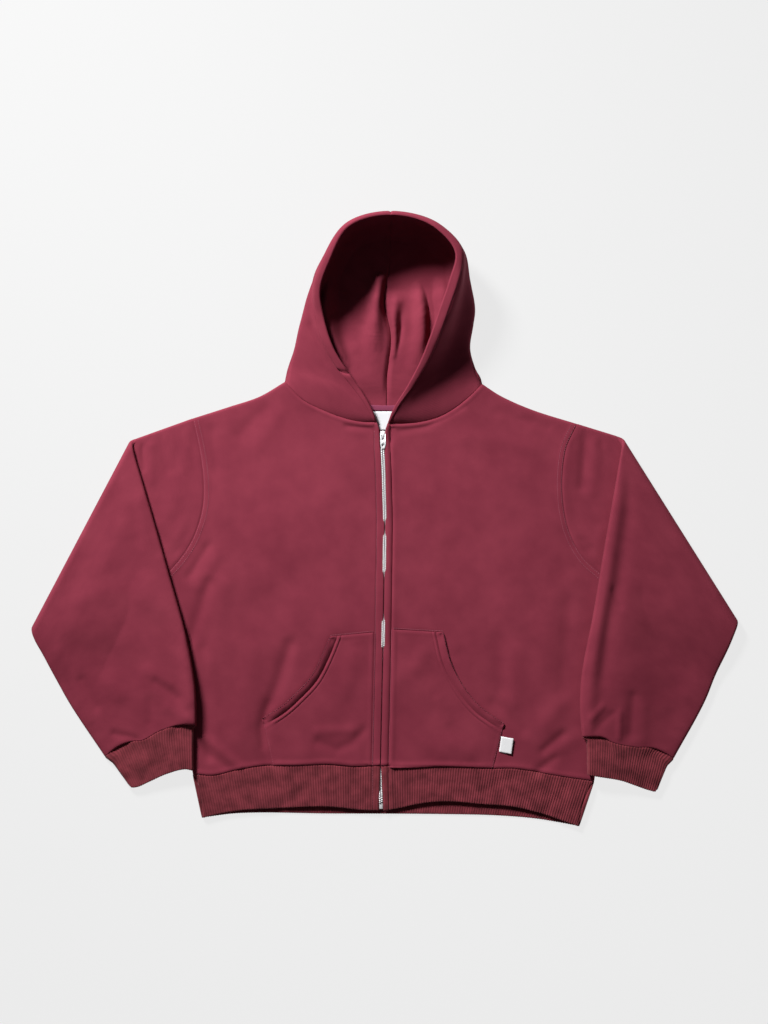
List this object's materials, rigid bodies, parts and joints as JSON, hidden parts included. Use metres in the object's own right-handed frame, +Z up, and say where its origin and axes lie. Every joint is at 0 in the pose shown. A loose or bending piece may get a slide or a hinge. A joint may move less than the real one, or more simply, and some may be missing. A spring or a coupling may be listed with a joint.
{
  "type": "zip-up hooded sweatshirt laid flat",
  "caption": "Boxy zip-up hoodie in heavy brushed fleece, laid face up with its sleeves folded over, with patch pockets, ribbed hem and cuffs, and a stand-up hood.",
  "frame": {"origin": "middle of the laid garment's outline, on the surface that it lies on", "axes": "+X across the body towards the right of the view from above, +Y up the body towards the hood, +Z up from the surface"},
  "size_m": [1.0213, 0.8818, 0.0699],
  "materials": {
    "fleece": "matte brushed fleece",
    "rib": "matte rib knit",
    "neck_tape": "matte woven tape",
    "label": "satin woven label",
    "zip_tape": "matte woven tape",
    "zip_metal": "polished nickel"
  },
  "bodies": {
    "garment": {"back_panel": "fleece", "front_left": "fleece", "front_right": "fleece", "sleeve_left": "fleece", "sleeve_right": "fleece", "hood_left": "fleece", "hood_right": "fleece", "pocket_left": "fleece", "pocket_right": "fleece", "hem_band": "rib", "cuff_left": "rib", "cuff_right": "rib", "neck_tape": "neck_tape", "neck_label": "label", "pocket_label": "label", "zip_tape_left": "zip_tape", "zip_tape_right": "zip_tape", "zip_chain": "zip_metal", "zip_stop_box": "zip_metal", "zip_slider": "zip_metal"},
    "pull": {"zip_pull": "zip_metal"}
  },
  "joints": [
    {"name": "pull_hinge", "type": "hinge", "parent": "garment", "child": "pull", "pos_m": [-0.0026, 0.1266, 0.0093], "axis": [-1, 0, 0], "range_deg": [0, 165]}
  ]
}
